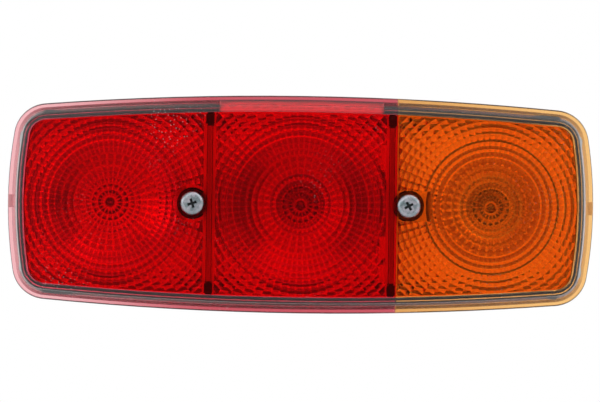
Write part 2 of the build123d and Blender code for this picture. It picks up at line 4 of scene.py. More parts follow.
import bmesh
import bpy
from mathutils import Matrix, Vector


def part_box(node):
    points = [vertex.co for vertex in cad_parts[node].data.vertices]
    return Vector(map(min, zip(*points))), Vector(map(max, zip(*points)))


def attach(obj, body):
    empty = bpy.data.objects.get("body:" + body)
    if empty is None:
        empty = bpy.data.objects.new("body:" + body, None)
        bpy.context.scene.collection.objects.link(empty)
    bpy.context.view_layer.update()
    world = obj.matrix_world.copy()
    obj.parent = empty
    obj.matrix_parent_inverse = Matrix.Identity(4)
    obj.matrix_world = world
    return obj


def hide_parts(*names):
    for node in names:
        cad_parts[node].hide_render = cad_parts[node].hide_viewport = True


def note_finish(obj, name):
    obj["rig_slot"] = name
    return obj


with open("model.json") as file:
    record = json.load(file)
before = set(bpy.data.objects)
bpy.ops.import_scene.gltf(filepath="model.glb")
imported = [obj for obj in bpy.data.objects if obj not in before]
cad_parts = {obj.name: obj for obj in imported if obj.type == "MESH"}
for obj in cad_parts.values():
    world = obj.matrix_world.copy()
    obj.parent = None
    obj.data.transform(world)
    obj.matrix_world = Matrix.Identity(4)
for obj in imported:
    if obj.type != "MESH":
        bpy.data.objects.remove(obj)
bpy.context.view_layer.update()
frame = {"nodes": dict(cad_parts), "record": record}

# Tail light cluster, metres. The lens looks along -Y and the mounting face of the base is y = 0.
cad = frame["nodes"]
scene = bpy.context.scene
MM = 0.001


def centre_x(node):
    """Middle of a node, left to right."""
    low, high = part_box(node)
    return (low.x + high.x) / 2


# Places taken from the frame, and sizes of the solids that its boxes don't give
chambers = ("tail", "stop", "indicator")
chamber_axes = {name: centre_x(name + "_bulb_glass") for name in chambers}
lens_low, lens_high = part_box("lens_red")
lens_front = lens_low.y
lens_foot = lens_high.y
weld_plane = lens_high.x
front_wall = 3.0 * MM
inner_face = lens_front + front_wall
lip_height = 3.0 * MM
lip_front = lens_foot - lip_height
lip_round = 0.5 * MM
partition_place = 36.4 * MM
partition_reach = 2.5 * MM
partition_half_length = 31.2 * MM
mask_edge = 0.4 * MM
divider_reach = 1.0 * MM
divider_side = 0.8 * MM
stop_wall_reach = 32.5 * MM
stop_wall_height = 37.0 * MM
seal_thickness = 2.0 * MM
flange_front = lens_foot + seal_thickness
end_start = 105.0 * MM
screw_place = 43.15 * MM
pillar_reach = 6.4 * MM
pillar_gap = 0.03 * MM

# Optics on the inner face of the lens: rings of pillow-shaped cells round each chamber's axis
ring_pitch = 2.45 * MM
ring_count = 22
ring_steps = (0.0, 0.24, 0.48, 0.72, 0.96)
inner_rings = 3
middle_rings = 8
inner_cells = 18
middle_cells = 36
outer_cells = 72
mesh_turn_steps = 288
optic_floor = inner_face - 2.2 * MM
ring_slope = 0.46
spoke_slope = 0.50
flute_power = 2.6
ring_tilt = 0.10
nub_height = 0.85 * MM
disc_rings = 6
disc_step = 0.20 * MM
plane_margin = 0.02 * MM
wall_margin = 0.05 * MM
recess_limit = 1.5 * MM
merge_distance = 0.001 * MM
border_end = 0.98

# Shading of the meshes, and how squarely a face looks along an axis
hard_angle = math.radians(25)
flat_angle = math.radians(0.5)
uneven_area = 30
flat_share = 0.99999
facing_share = 0.99
edge_on_share = 0.01
upright_share = 0.9999

# Lens screws and mounting studs
screw_head_height = 3.2 * MM
screw_head_round = 1.6 * MM
head_round_steps = 6
screw_turns = {"tail": math.radians(19), "indicator": math.radians(29)}
recess_length = 5.0 * MM
recess_width = 1.35 * MM
recess_depth = 2.1 * MM
recess_taper = 0.5
thread_points = 6
thread_flank = 1.25
lathe_steps = 40
screw_radius = 2.4 * MM
screw_pitch = 0.8 * MM
screw_thread = 0.35 * MM
stud_radius = 3.0 * MM
stud_neck_radius = 3.6 * MM
stud_pitch = 1.0 * MM
stud_thread = 0.5 * MM
stud_chamfer = 0.6 * MM
stud_neck = 3.5 * MM
stud_head_height = 3.0 * MM
stud_head_radius = 4.9 * MM
hex_overlap = 0.4 * MM


# Mesh helpers
def new_piece(name, bm, body="root"):
    """Object at the origin that carries the finished mesh and rides on the body."""
    mesh = bpy.data.meshes.new(name)
    bm.to_mesh(mesh)
    bm.free()
    piece = bpy.data.objects.new(name, mesh)
    scene.collection.objects.link(piece)
    if body:
        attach(piece, body)
    return piece


def merged_copy(node):
    """Closed copy of a solid's mesh."""
    bm = bmesh.new()
    bm.from_mesh(cad[node].data)
    bmesh.ops.remove_doubles(bm, verts=bm.verts, dist=merge_distance)
    return bm


def combine(target, cutter, operation):
    """Applies one solid to another and removes the cutter."""
    change = target.modifiers.new("change", "BOOLEAN")
    change.object = cutter
    change.operation = operation
    change.solver = "MANIFOLD"
    shape = target.evaluated_get(bpy.context.evaluated_depsgraph_get())
    target.data = bpy.data.meshes.new_from_object(shape)
    target.modifiers.clear()
    bpy.data.objects.remove(cutter)


def shade(piece):
    """Smooth shading that keeps flat faces flat and hard edges hard."""
    bm = bmesh.new()
    bm.from_mesh(piece.data)

    def is_hard(edge):
        if len(edge.link_faces) != 2:
            return True
        turn = edge.calc_face_angle()
        small, large = sorted(face.calc_area() for face in edge.link_faces)
        level = any(abs(face.normal.y) > flat_share for face in edge.link_faces)
        lopsided = large > uneven_area * small
        return turn > hard_angle or ((level or lopsided) and turn > flat_angle)

    for face in bm.faces:
        face.smooth = True
    for edge in bm.edges:
        edge.smooth = not is_hard(edge)
    bm.to_mesh(piece.data)
    bm.free()


def add_lathe(bm, profile, axis, steps):
    """Adds a turned solid to the mesh. Profile points are radius and y, and axis is the x of the axis."""
    start = [bm.verts.new((axis + radius, y, 0)) for radius, y in profile]
    edges = [bm.edges.new(pair) for pair in zip(start, start[1:])]
    bmesh.ops.spin(
        bm,
        geom=start + edges,
        cent=(axis, 0, 0),
        axis=(0, 1, 0),
        angle=math.tau,
        steps=steps,
        use_merge=True,
    )


def cut_thread(bm, axis, radius, pitch, depth, first, last):
    """Draws the points of a plain shank in along a helix, with the crests left at full radius."""
    for v in bm.verts:
        x = v.co.x - axis
        if abs(math.hypot(x, v.co.z) - radius) > plane_margin or not first < v.co.y < last:
            continue
        turn = math.atan2(v.co.z, x) / math.tau + v.co.y / pitch
        wave = abs(2 * (turn - math.floor(turn)) - 1)
        draw = 1 - depth * min(1, thread_flank * wave) / radius
        v.co.x = axis + x * draw
        v.co.z *= draw


# Lens optics
def in_recess(face):
    """Whether a face belongs to the shallow recess in the inner face."""
    levels = [inner_face - v.co.y for v in face.verts]
    return wall_margin < max(levels) < recess_limit and min(levels) > -plane_margin


def lens_copy(node):
    """Closed copy of a lens, with the ribs' sides divided from the recess walls that run on below them."""
    bm = merged_copy(node)

    def runs_on(face):
        levels = [inner_face - v.co.y for v in face.verts]
        upright = abs(face.normal.x) > upright_share and abs(face.verts[0].co.x - weld_plane) > wall_margin
        return upright and min(levels) < -plane_margin and any(wall_margin < y < recess_limit for y in levels)

    walls = [face for face in bm.faces if runs_on(face)]
    edges = {edge for face in walls for edge in face.edges}
    verts = {v for face in walls for v in face.verts}
    bmesh.ops.bisect_plane(
        bm,
        geom=walls + list(edges) + list(verts),
        dist=merge_distance,
        plane_co=(0, inner_face, 0),
        plane_no=(0, 1, 0),
    )
    return bm


def field_rim(bm, axis):
    """Edges of the inner face round one chamber's prismatic field."""

    def on_rim(edge):
        flat = all(abs(v.co.y - inner_face) < plane_margin for v in edge.verts)
        near = all(min(chamber_axes.values(), key=lambda x: abs(v.co.x - x)) == axis for v in edge.verts)
        outside = all(math.hypot(v.co.x - axis, v.co.z) > 2 * ring_pitch for v in edge.verts)
        return flat and near and outside and sum(in_recess(face) for face in edge.link_faces) == 1

    return [edge for edge in bm.edges if on_rim(edge)]


def field_block(node, axis):
    """Block with the outline of one chamber's prismatic field, from the inner face to beyond the lens."""
    bm = lens_copy(node)
    kept = set(field_rim(bm, axis))
    bmesh.ops.delete(bm, geom=[e for e in bm.edges if e not in kept], context="EDGES")
    bmesh.ops.delete(bm, geom=[v for v in bm.verts if not v.link_edges], context="VERTS")
    made = bmesh.ops.contextual_create(bm, geom=list(bm.edges))
    bmesh.ops.delete(bm, geom=[e for e in bm.edges if not e.link_faces], context="EDGES")
    grown = bmesh.ops.extrude_face_region(bm, geom=made["faces"], use_keep_orig=True)
    front = [v for v in grown["geom"] if isinstance(v, bmesh.types.BMVert)]
    bmesh.ops.translate(bm, vec=(0, 2 * (lens_front - inner_face), 0), verts=front)
    bmesh.ops.triangulate(bm, faces=bm.faces)
    bmesh.ops.recalc_face_normals(bm, faces=bm.faces)
    return new_piece("field_block", bm, None)


def cells_in(ring):
    """How many cells a ring has."""
    if ring < inner_rings:
        return inner_cells
    return middle_cells if ring < middle_rings else outer_cells


def cell_height(ring, across, along, cells):
    """How far the optics stand into the chamber at one point of a cell: across and along run from 0 to 1."""
    if ring == 0:
        return nub_height * (1 - across**2)
    width = (ring + across) * ring_pitch * math.tau / cells
    pillow = ring_slope * ring_pitch / 4 * (1 - (2 * across - 1) ** 2)
    flute = spoke_slope * width / 4 * (1 - abs(2 * along - 1) ** flute_power)
    raised = disc_step if ring < disc_rings else 0
    return pillow + flute + raised + ring_tilt * ring_pitch * across


def cell_place(step, cells):
    """Angle of one mesh step, moved so that steps fall on the cell borders, and its place along the cell."""
    cell = math.floor(step * cells / mesh_turn_steps + 0.5)
    start = round((cell - 0.5) * mesh_turn_steps / cells)
    if step < start:
        cell -= 1
        start = round((cell - 0.5) * mesh_turn_steps / cells)
    end = round((cell + 0.5) * mesh_turn_steps / cells)
    if step >= end:
        cell += 1
        start, end = end, round((cell + 0.5) * mesh_turn_steps / cells)
    along = (step - start) / (end - start)
    return (cell - 0.5 + along) * math.tau / cells, along


def optic_block(axis):
    """Solid of revolution whose front is the cell pattern. Steps are counted from the top of the lamp."""
    bm = bmesh.new()
    reach = ring_pitch * ring_count
    ends = [bm.verts.new((0, 0, 0)), bm.verts.new((0, 0, reach))]
    line = bm.edges.new(ends)
    points = ring_count * len(ring_steps)
    bmesh.ops.subdivide_edges(bm, edges=[line], cuts=points - 1)
    bmesh.ops.spin(
        bm,
        geom=list(bm.verts) + list(bm.edges),
        cent=(0, 0, 0),
        axis=(0, 1, 0),
        angle=math.tau,
        steps=mesh_turn_steps,
        use_merge=True,
    )
    bmesh.ops.remove_doubles(bm, verts=bm.verts, dist=merge_distance)
    for v in bm.verts:
        place = round(math.hypot(v.co.x, v.co.z) / reach * points)
        ring, part = divmod(place, len(ring_steps))
        cells = cells_in(ring)
        turn = math.atan2(v.co.x, v.co.z) / math.tau
        angle, along = cell_place(round(turn * mesh_turn_steps), cells)
        radius = (ring + ring_steps[part]) * ring_pitch
        v.co.x = radius * math.sin(angle)
        v.co.z = radius * math.cos(angle)
        v.co.y = optic_floor + cell_height(ring, ring_steps[part], along, cells)
    border = [e for e in bm.edges if e.is_boundary]
    wall = bmesh.ops.extrude_edge_only(bm, edges=border)
    back = [v for v in wall["geom"] if isinstance(v, bmesh.types.BMVert)]
    for v in back:
        v.co.y = inner_face + wall_margin
    bmesh.ops.contextual_create(bm, geom=[e for e in bm.edges if e.is_boundary])
    bmesh.ops.translate(bm, vec=(axis, 0, 0), verts=bm.verts)
    bmesh.ops.recalc_face_normals(bm, faces=bm.faces)
    return new_piece("optic_block", bm, None)


def round_lip(bm):
    """Rounds the outer front edge of the lip."""

    def on_edge(edge):
        if not all(abs(v.co.y - lip_front) < plane_margin for v in edge.verts):
            return False
        facing = sum(face.normal.y < -facing_share for face in edge.link_faces)
        behind = [face for face in edge.link_faces if face.calc_center_median().y > lip_front]
        upright = sum(abs(face.normal.y) < edge_on_share for face in behind)
        return facing == 1 and upright == 1

    bmesh.ops.bevel(
        bm,
        geom=[edge for edge in bm.edges if on_edge(edge)],
        offset=lip_round,
        offset_type="OFFSET",
        affect="EDGES",
        segments=3,
        profile=0.5,
        material=-1,
    )


def open_field(bm, axis):
    """Takes the plain recess of one chamber's field out of the inner face, up to its rim."""
    rim = set(field_rim(bm, axis))
    todo = [face for edge in rim for face in edge.link_faces if in_recess(face)]
    inside = set(todo)
    while todo:
        for edge in todo.pop().edges:
            if edge in rim:
                continue
            for face in edge.link_faces:
                if face not in inside:
                    inside.add(face)
                    todo.append(face)
    bmesh.ops.delete(bm, geom=list(inside), context="FACES")


def add_cells(bm, node, axis):
    """Puts the cell pattern into the opened field, as the inner face of the lens."""
    cells = optic_block(axis)
    combine(cells, field_block(node, axis), "INTERSECT")
    cut = bmesh.new()
    cut.from_mesh(cells.data)
    lid = [f for f in cut.faces if all(abs(v.co.y - inner_face) < plane_margin for v in f.verts)]
    bmesh.ops.delete(cut, geom=lid, context="FACES")
    bmesh.ops.reverse_faces(cut, faces=cut.faces)
    cut.to_mesh(cells.data)
    cut.free()
    bm.from_mesh(cells.data)
    bpy.data.objects.remove(cells)


def clear_pillar(bm):
    """Lifts the foot of the screw pillar a hair off the base, so that light leaves the lens there."""
    near = [v for v in bm.verts if math.hypot(abs(v.co.x) - screw_place, v.co.z) < pillar_reach]
    foot = max(v.co.y for v in near)
    ends = [v for v in near if v.co.y > foot - plane_margin]
    bmesh.ops.translate(bm, vec=(0, -pillar_gap, 0), verts=ends)


def lens_piece(name, node, lit_chambers):
    """Lens moulding with its prismatic cells in the inner face."""
    bm = lens_copy(node)
    clear_pillar(bm)
    round_lip(bm)
    for chamber in lit_chambers:
        open_field(bm, chamber_axes[chamber])
        add_cells(bm, node, chamber_axes[chamber])
    bmesh.ops.remove_doubles(bm, verts=bm.verts, dist=merge_distance)
    lens = new_piece(name, bm)
    shade(lens)
    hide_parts(node)
    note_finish(lens, name)
    return lens


red_lens = lens_piece("red_lens", "lens_red", ("tail", "stop"))
amber_lens = lens_piece("amber_lens", "lens_amber", ("indicator",))


# Lens screws: turned pan heads with a cross recess, and threaded shanks
def recess_bars(axes, seat, turned):
    """One tapered bar of the cross recess for each screw."""
    bm = bmesh.new()
    for chamber, axis in axes.items():
        made = bmesh.ops.create_cube(bm, size=1)["verts"]
        bmesh.ops.scale(bm, vec=(recess_length, 2 * recess_depth, recess_width), verts=made)
        deep = [v for v in made if v.co.y > 0]
        bmesh.ops.scale(bm, vec=(recess_taper, 1, recess_taper), verts=deep)
        turn = Matrix.Rotation(-screw_turns[chamber] - turned, 3, "Y")
        bmesh.ops.rotate(bm, cent=(0, 0, 0), matrix=turn, verts=made)
        bmesh.ops.translate(bm, vec=(axis, seat, 0), verts=made)
    return new_piece("recess_bars", bm, None)


def screws_piece():
    """Both lens screws, with the cross recess turned as each one stands."""
    low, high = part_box("lens_screws")
    head_radius = (high.z - low.z) / 2
    axes = {"tail": low.x + head_radius, "indicator": high.x - head_radius}
    seat = low.y + screw_head_height
    bm = bmesh.new()
    inner = head_radius - screw_head_round
    shank_steps = round((high.y - seat) / screw_pitch * thread_points)
    for axis in axes.values():
        profile = [(0, low.y)]
        for step in range(head_round_steps + 1):
            angle = math.radians(90) * step / head_round_steps
            rise = screw_head_round * (1 - math.cos(angle))
            profile.append((inner + screw_head_round * math.sin(angle), low.y + rise))
        profile.append((head_radius, seat))
        for step in range(shank_steps + 1):
            profile.append((screw_radius, seat + (high.y - seat) * step / shank_steps))
        profile.append((0, high.y))
        add_lathe(bm, profile, axis, lathe_steps)
    bmesh.ops.remove_doubles(bm, verts=bm.verts, dist=merge_distance)
    bmesh.ops.recalc_face_normals(bm, faces=bm.faces)
    thread_start = seat + screw_pitch
    thread_end = high.y - screw_pitch
    for axis in axes.values():
        cut_thread(bm, axis, screw_radius, screw_pitch, screw_thread, thread_start, thread_end)
    screws = new_piece("zinc_screws", bm)
    combine(screws, recess_bars(axes, low.y, 0), "DIFFERENCE")
    combine(screws, recess_bars(axes, low.y, math.radians(90)), "DIFFERENCE")
    shade(screws)
    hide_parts("lens_screws")
    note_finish(screws, "plated_steel")
    return screws


def studs_piece():
    """Threaded studs with the neck and hexagon head that are moulded into the base."""
    low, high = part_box("mounting_studs")
    axes = (low.x + stud_head_radius, high.x - stud_head_radius)
    bm = bmesh.new()
    steps = round((high.y - stud_chamfer) / stud_pitch * thread_points)
    for axis in axes:
        profile = [(0, -stud_neck - hex_overlap), (stud_neck_radius, -stud_neck - hex_overlap)]
        profile.append((stud_neck_radius, 0))
        for step in range(steps + 1):
            profile.append((stud_radius, (high.y - stud_chamfer) * step / steps))
        profile.append((stud_radius - stud_chamfer, high.y))
        profile.append((0, high.y))
        add_lathe(bm, profile, axis, lathe_steps)
    bmesh.ops.remove_doubles(bm, verts=bm.verts, dist=merge_distance)
    bmesh.ops.recalc_face_normals(bm, faces=bm.faces)
    thread_end = high.y - stud_chamfer / 2
    for axis in axes:
        cut_thread(bm, axis, stud_radius, stud_pitch, stud_thread, stud_pitch, thread_end)
    studs = new_piece("threaded_studs", bm)
    bm = bmesh.new()
    for axis in axes:
        bmesh.ops.create_cone(
            bm,
            cap_ends=True,
            segments=6,
            radius1=stud_head_radius,
            radius2=stud_head_radius,
            depth=stud_head_height,
            matrix=Matrix.Translation((axis, -stud_neck - stud_head_height / 2, 0))
            @ Matrix.Rotation(math.radians(90), 4, "X")
            @ Matrix.Rotation(math.radians(30), 4, "Z"),
        )
    combine(studs, new_piece("hexagons", bm, None), "UNION")
    shade(studs)
    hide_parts("mounting_studs")
    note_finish(studs, "plated_steel")
    return studs


zinc_screws = screws_piece()
threaded_studs = studs_piece()


# Node helpers
def add_node(tree, kind, inputs=None, **settings):
    """Adds a node, with its settings and with values or other nodes' outputs on its sockets."""
    made = tree.nodes.new(kind)
    for key, value in settings.items():
        setattr(made, key, value)
    for key, value in (inputs or {}).items():
        if isinstance(value, bpy.types.NodeSocket):
            tree.links.new(value, made.inputs[key])
        else:
            made.inputs[key].default_value = value
    return made


def math_node(tree, operation, first, second=0.0, third=0.0):
    return add_node(tree, "ShaderNodeMath", {0: first, 1: second, 2: third}, operation=operation).outputs[0]


def mix_colour(tree, factor, first, second):
    made = add_node(tree, "ShaderNodeMix", {"Factor": factor}, data_type="RGBA")
    for name, value in (("A", first), ("B", second)):
        socket = [s for s in made.inputs if s.name == name and s.type == "RGBA"][0]
        if isinstance(value, bpy.types.NodeSocket):
            tree.links.new(value, socket)
        else:
            socket.default_value = (*value, 1)
    return [s for s in made.outputs if s.type == "RGBA"][0]


def map_range(tree, value, low, high, bottom=0.0, top=1.0):
    sockets = {"Value": value, "From Min": low, "From Max": high, "To Min": bottom, "To Max": top}
    made = add_node(tree, "ShaderNodeMapRange", sockets, interpolation_type="SMOOTHSTEP")
    return made.outputs["Result"]


def object_place(tree):
    return add_node(tree, "ShaderNodeTexCoord").outputs["Object"]


def split_place(tree):
    return add_node(tree, "ShaderNodeSeparateXYZ", {0: object_place(tree)}).outputs


def flat_length(tree, first, second):
    """Length of the vector that two values make."""
    flat = add_node(tree, "ShaderNodeCombineXYZ", {"X": first, "Y": second}).outputs[0]
    return add_node(tree, "ShaderNodeVectorMath", {0: flat}, operation="LENGTH").outputs["Value"]


def new_group(name, inputs, outputs):
    """Shader node group with named value inputs and outputs."""
    group = bpy.data.node_groups.new(name, "ShaderNodeTree")
    for label, value in inputs.items():
        socket = group.interface.new_socket(label, in_out="INPUT", socket_type="NodeSocketFloat")
        socket.default_value = value
    for label in outputs:
        group.interface.new_socket(label, in_out="OUTPUT", socket_type="NodeSocketFloat")
    start = group.nodes.new("NodeGroupInput")
    end = group.nodes.new("NodeGroupOutput")
    return group, start, end


def use_group(tree, group, **values):
    made = add_node(tree, "ShaderNodeGroup", node_tree=group)
    for label, value in values.items():
        made.inputs[label.replace("_", " ").capitalize()].default_value = value
    return made.outputs


# Shared effects
def make_grain():
    """Moulded or rolled grain: a fine height and a broad change of tone."""
    group, start, end = new_group("grain", {"Scale": 900.0, "Broad scale": 40.0}, ("Height", "Tone"))
    place = object_place(group)
    fine = add_node(
        group, "ShaderNodeTexNoise", {"Vector": place, "Scale": start.outputs["Scale"], "Detail": 3.0}
    )
    broad = add_node(
        group, "ShaderNodeTexNoise", {"Vector": place, "Scale": start.outputs["Broad scale"], "Detail": 4.0}
    )
    group.links.new(fine.outputs["Fac"], end.inputs["Height"])
    group.links.new(map_range(group, broad.outputs["Fac"], 0.3, 0.7), end.inputs["Tone"])
    return group


def make_dust():
    """Scattered specks of dust, thicker in some patches than in others."""
    group, start, end = new_group("dust", {"Scale": 700.0, "Patch scale": 30.0, "Amount": 0.5}, ("Mask",))
    place = object_place(group)
    cells = add_node(
        group, "ShaderNodeTexVoronoi", {"Vector": place, "Scale": start.outputs["Scale"], "Randomness": 1.0}
    )
    patch = add_node(
        group, "ShaderNodeTexNoise", {"Vector": place, "Scale": start.outputs["Patch scale"], "Detail": 2.0}
    )
    thick = map_range(group, patch.outputs["Fac"], 0.45, 0.75, 0.0, 0.34)
    size = math_node(group, "MULTIPLY", thick, start.outputs["Amount"])
    speck = math_node(group, "LESS_THAN", cells.outputs["Distance"], size)
    group.links.new(speck, end.inputs["Mask"])
    return group


def make_scuffs():
    """Fine rubbed lines that run one way and break up."""
    group, start, end = new_group("scuffs", {"Scale": 260.0, "Amount": 0.5}, ("Mask",))
    place = object_place(group)
    turned = add_node(
        group, "ShaderNodeMapping", {"Vector": place, "Rotation": (0.4, 0.9, 0.6), "Scale": (1.0, 1.0, 0.05)}
    )
    lines = add_node(
        group,
        "ShaderNodeTexNoise",
        {"Vector": turned.outputs[0], "Scale": start.outputs["Scale"], "Detail": 5.0, "Roughness": 0.7},
    )
    line = map_range(group, lines.outputs["Fac"], 0.56, 0.72)
    group.links.new(math_node(group, "MULTIPLY", line, start.outputs["Amount"]), end.inputs["Mask"])
    return group


def make_prism_cells():
    """Crowns of the prism cells: one in the middle of each cell, and nothing along its borders. The lens is
    painted darker on the crowns, partly for the thicker acrylic there and partly as painted shade that leaves
    a bright net of painted light along the borders.
    """
    group, start, end = new_group("prism_cells", {"Border": 0.5}, ("Crown",))
    split = split_place(group)
    stop_axis = chamber_axes["stop"]
    in_tail = math_node(group, "LESS_THAN", split["X"], -partition_place)
    left_axis = math_node(group, "MULTIPLY_ADD", in_tail, chamber_axes["tail"] - stop_axis, stop_axis)
    in_indicator = math_node(group, "GREATER_THAN", split["X"], partition_place)
    axis = math_node(group, "MULTIPLY_ADD", in_indicator, chamber_axes["indicator"] - stop_axis, left_axis)
    off = math_node(group, "SUBTRACT", split["X"], axis)
    rings = math_node(group, "DIVIDE", flat_length(group, off, split["Z"]), ring_pitch)
    ring = math_node(group, "FLOOR", rings)
    past_inner = math_node(group, "GREATER_THAN", ring, inner_rings - 0.5)
    past_middle = math_node(group, "GREATER_THAN", ring, middle_rings - 0.5)
    cells = math_node(group, "MULTIPLY_ADD", past_inner, middle_cells - inner_cells, inner_cells)
    cells = math_node(group, "MULTIPLY_ADD", past_middle, outer_cells - middle_cells, cells)
    turn = math_node(group, "DIVIDE", math_node(group, "ARCTAN2", off, split["Z"]), math.tau)
    across = math_node(group, "FRACT", rings)
    along = math_node(group, "FRACT", math_node(group, "MULTIPLY_ADD", turn, cells, 0.5))
    from_ring = math_node(group, "ABSOLUTE", math_node(group, "MULTIPLY_ADD", across, 2.0, -1.0))
    from_spoke = math_node(group, "ABSOLUTE", math_node(group, "MULTIPLY_ADD", along, 2.0, -1.0))
    off_nub = math_node(group, "MINIMUM", ring, 1.0)
    edge = math_node(group, "MAXIMUM", from_ring, math_node(group, "MULTIPLY", from_spoke, off_nub))
    border_start = math_node(group, "SUBTRACT", 1.0, start.outputs["Border"])
    crown = map_range(group, edge, border_start, border_end, 1.0, 0.0)
    group.links.new(crown, end.inputs["Crown"])
    return group


grain = make_grain()
dust = make_dust()
prism_cells = make_prism_cells()
scuffs = make_scuffs()


# Finishes
face_roughness = 0.02
wall_roughness = 0.03
rib_roughness = 0.55
frost_roughness = 0.85
# Where the painted light on the lip starts and is full, out from the middle of the lamp
lip_light_start = 30.0 * MM
lip_light_end = 114.0 * MM
acrylic_ior = 1.49
bulb_ior = 1.5
dust_ior = 2.6
dust_roughness = 0.5
# How far back the dividers' painted glow reaches from the lip
divider_glow_depth = 14.0 * MM
seat_depth = 2.0 * MM
# Reach of the painted shade in the screws' cross recess
recess_shade_radius = 2.7 * MM


def new_finish(name, roughness, metallic=0.0):
    material = bpy.data.materials.new(name)
    material.use_nodes = True
    tree = material.node_tree
    shader = tree.nodes["Principled BSDF"]
    shader.inputs["Roughness"].default_value = roughness
    shader.inputs["Metallic"].default_value = metallic
    return material, tree, shader


def set_finish(piece, material):
    piece.data.materials.clear()
    piece.data.materials.append(material)


def add_bump(tree, shader, height, strength, distance):
    made = add_node(
        tree, "ShaderNodeBump", {"Height": height, "Strength": strength, "Distance": distance}
    )
    tree.links.new(made.outputs["Normal"], shader.inputs["Normal"])


def partition_distance(tree):
    """Distance from the middle plane of the nearer partition."""
    across = math_node(tree, "ABSOLUTE", split_place(tree)["X"])
    return math_node(tree, "ABSOLUTE", math_node(tree, "SUBTRACT", across, partition_place))


def partition_mask(tree, reach):
    """One within reach of a partition's middle plane and between its end blocks."""
    up = math_node(tree, "ABSOLUTE", split_place(tree)["Z"])
    beside = map_range(tree, partition_distance(tree), reach, reach + mask_edge, 1.0, 0.0)
    between = map_range(tree, up, partition_half_length - 0.5 * MM, partition_half_length, 1.0, 0.0)
    return math_node(tree, "MULTIPLY", beside, between)


def screw_distance(tree):
    """Distance from the axis of the nearer lens screw."""
    split = split_place(tree)
    off = math_node(tree, "SUBTRACT", math_node(tree, "ABSOLUTE", split["X"]), screw_place)
    return flat_length(tree, off, split["Z"])


def acrylic(name, colour, deep_colour, crown_colour_and_shade, lip_colour, lit_end_lip_colour):
    """Clear dyed acrylic: darker on the cell crowns, partly for their thickness and partly as painted shade
    that leaves a bright net along the cell borders; paler at the thin lip, with painted light that makes the
    lip paler towards the lamp's ends; with dust on it.
    """
    material, tree, shader = new_finish(name, face_roughness)
    split = split_place(tree)
    depth = split["Y"]
    across = math_node(tree, "ABSOLUTE", split["X"])
    lip = map_range(tree, depth, lip_front - 0.8 * MM, lip_front + 0.2 * MM)
    wall = map_range(tree, depth, inner_face + 1.0 * MM, inner_face + 4.0 * MM)
    inside = map_range(tree, depth, inner_face, inner_face + mask_edge)
    rib = math_node(tree, "MULTIPLY", partition_mask(tree, partition_reach), inside)
    on_stop = map_range(tree, across, stop_wall_reach - 1.0 * MM, stop_wall_reach + 1.0 * MM, 1.0, 0.0)
    on_top = map_range(tree, split["Z"], stop_wall_height, stop_wall_height + 1.0 * MM)
    frost = math_node(tree, "MULTIPLY", math_node(tree, "MULTIPLY", on_stop, on_top), wall)
    frost = math_node(tree, "MULTIPLY", frost, math_node(tree, "SUBTRACT", 1.0, lip))
    cloud = use_group(tree, grain, scale=600.0, broad_scale=25.0)
    body = mix_colour(tree, cloud["Tone"], deep_colour, colour)
    behind_front = map_range(tree, depth, lens_front + 0.2 * MM, lens_front + 0.4 * MM)
    on_cells = map_range(tree, depth, inner_face - 0.2 * MM, inner_face, behind_front, 0.0)
    # Darker crowns: partly the thicker acrylic, partly painted shade, so that the cell borders stay bright as
    # a painted net of light
    crown = use_group(tree, prism_cells, border=0.5)["Crown"]
    thick = mix_colour(tree, math_node(tree, "MULTIPLY", crown, on_cells), body, crown_colour_and_shade)
    # Painted light: the lip is painted paler towards the lamp's ends, as if lit from the sides
    lip_light_to_end = map_range(tree, across, lip_light_start, lip_light_end)
    lip_with_painted_light = mix_colour(tree, lip_light_to_end, lip_colour, lit_end_lip_colour)
    tree.links.new(mix_colour(tree, lip, thick, lip_with_painted_light), shader.inputs["Base Color"])
    smooth = math_node(tree, "MULTIPLY_ADD", wall, wall_roughness, face_roughness)
    ribbed = math_node(tree, "MULTIPLY_ADD", rib, rib_roughness, smooth)
    frosted = math_node(tree, "MULTIPLY_ADD", frost, frost_roughness, ribbed)
    tree.links.new(frosted, shader.inputs["Roughness"])
    specks = use_group(tree, dust, scale=900.0, patch_scale=28.0, amount=0.55)
    tree.links.new(specks["Mask"], shader.inputs["Coat Weight"])
    shader.inputs["Coat Roughness"].default_value = dust_roughness
    shader.inputs["Coat IOR"].default_value = dust_ior
    shader.inputs["Transmission Weight"].default_value = 1.0
    shader.inputs["IOR"].default_value = acrylic_ior
    return material


